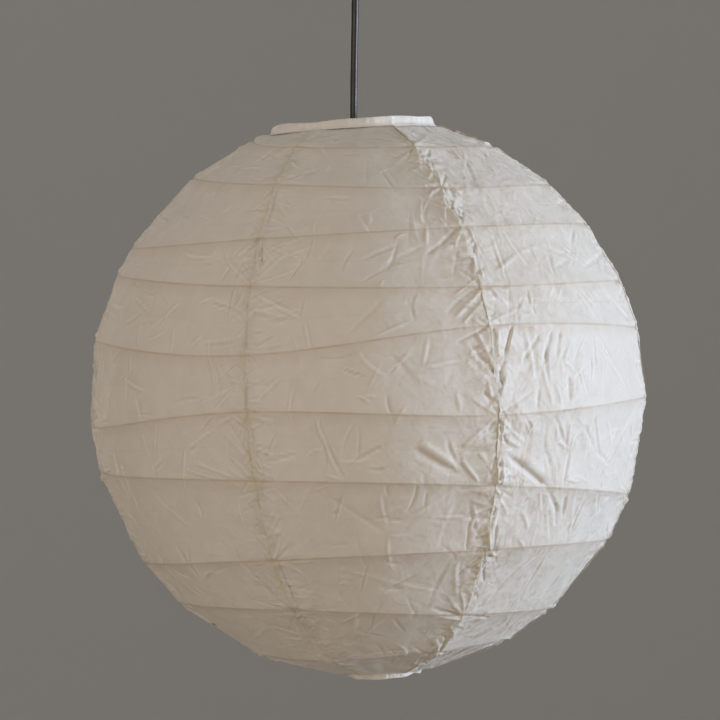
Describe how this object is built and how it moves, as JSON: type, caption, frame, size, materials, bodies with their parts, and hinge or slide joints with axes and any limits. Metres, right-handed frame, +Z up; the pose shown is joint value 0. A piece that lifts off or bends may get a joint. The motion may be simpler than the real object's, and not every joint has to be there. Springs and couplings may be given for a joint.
{
  "type": "paper globe lamp shade",
  "caption": "Round paper globe pendant shade over a spiral rib, on a sprung wire expander and lampholder, with its cord and ceiling rose.",
  "frame": {"origin": "centre of the ceiling rose's upper face, where it meets the ceiling", "axes": "+Z up out of the rose into the ceiling and along the globe's axis, -Y the front of the globe, +X to its right; the globe's axis stands 9.3 mm to -X of the origin because the cord leans"},
  "size_m": [0.4499, 0.45, 0.5943],
  "materials": {
    "zinc_plate": "zinc plated, satin",
    "rose_plastic": "moulded black plastic, fine grain",
    "screw_steel": "zinc plated",
    "block_plastic": "translucent white nylon",
    "terminal_brass": "plain brass",
    "cord_sheath": "black flexible sheath, slight gloss",
    "holder_plastic": "black moulded thermoset",
    "contact_ceramic": "unglazed ceramic",
    "shell_metal": "nickel plated brass",
    "frame_wire": "bright zinc wire",
    "hoop_wire": "plain wire",
    "rib_wire": "lacquered thin wire, tan",
    "lip_paper": "folded and glued washi",
    "washi_paper": "thin creased washi, faint satin"
  },
  "bodies": {
    "ceiling_rose": {"ceiling_plate": "zinc_plate", "rose_cup": "rose_plastic", "cup_tabs": "zinc_plate", "cup_screws": "screw_steel", "cord_bush": "rose_plastic", "bush_nut": "rose_plastic", "bush_grub_screw": "screw_steel", "terminal_block": "block_plastic", "terminal_screws": "terminal_brass", "cord": "cord_sheath"},
    "lampholder": {"cord_tail": "cord_sheath", "cord_grip": "holder_plastic", "lampholder_cap": "holder_plastic", "lampholder_skirt": "holder_plastic", "contact_base": "contact_ceramic", "screw_shell": "shell_metal", "centre_contact": "terminal_brass", "contact_screws": "screw_steel", "clamp_ring_upper": "holder_plastic", "clamp_ring_lower": "holder_plastic"},
    "globe": {"hub_plate": "frame_wire", "spider_arm_1": "frame_wire", "spider_arm_2": "frame_wire", "spider_arm_3": "frame_wire", "spider_arm_4": "frame_wire", "top_hoop": "hoop_wire", "top_lip": "lip_paper", "paper_gore_1": "washi_paper", "paper_gore_2": "washi_paper", "paper_gore_3": "washi_paper", "paper_gore_4": "washi_paper", "paper_gore_5": "washi_paper", "paper_gore_6": "washi_paper", "paper_gore_7": "washi_paper", "spiral_rib": "rib_wire"},
    "bottom_ring": {"bottom_hoop": "hoop_wire", "bottom_lip": "lip_paper"},
    "left_leg": {"expander_leg_left": "frame_wire"},
    "right_leg": {"expander_leg_right": "frame_wire"}
  },
  "joints": [
    {"name": "tilt_on_cord", "type": "hinge", "parent": "ceiling_rose", "child": "lampholder", "pos_m": [-0.0086, 0, -0.157], "axis": [0, 1, 0], "range_deg": [-12, 12]},
    {"name": "turn_on_lampholder", "type": "hinge", "parent": "lampholder", "child": "globe", "pos_m": [-0.0086, 0, -0.2023], "axis": [0, 0, 1], "continuous": true},
    {"name": "fold_flat", "type": "slide", "parent": "globe", "child": "bottom_ring", "axis": [0, 0, 1], "range_m": [0, 0.384], "deforming": ["paper_gore_1", "paper_gore_2", "paper_gore_3", "paper_gore_4", "paper_gore_5", "paper_gore_6", "paper_gore_7", "spiral_rib"]},
    {"name": "squeeze_left_leg", "type": "hinge", "parent": "globe", "child": "left_leg", "pos_m": [-0.0346, 0, -0.2], "axis": [0, -1, 0], "range_deg": [0, 0.8], "stiffness_Nm_per_rad": 2},
    {"name": "squeeze_right_leg", "type": "hinge", "parent": "globe", "child": "right_leg", "pos_m": [0.0174, 0, -0.2], "axis": [0, 1, 0], "range_deg": [0, 0.8], "stiffness_Nm_per_rad": 2}
  ]
}
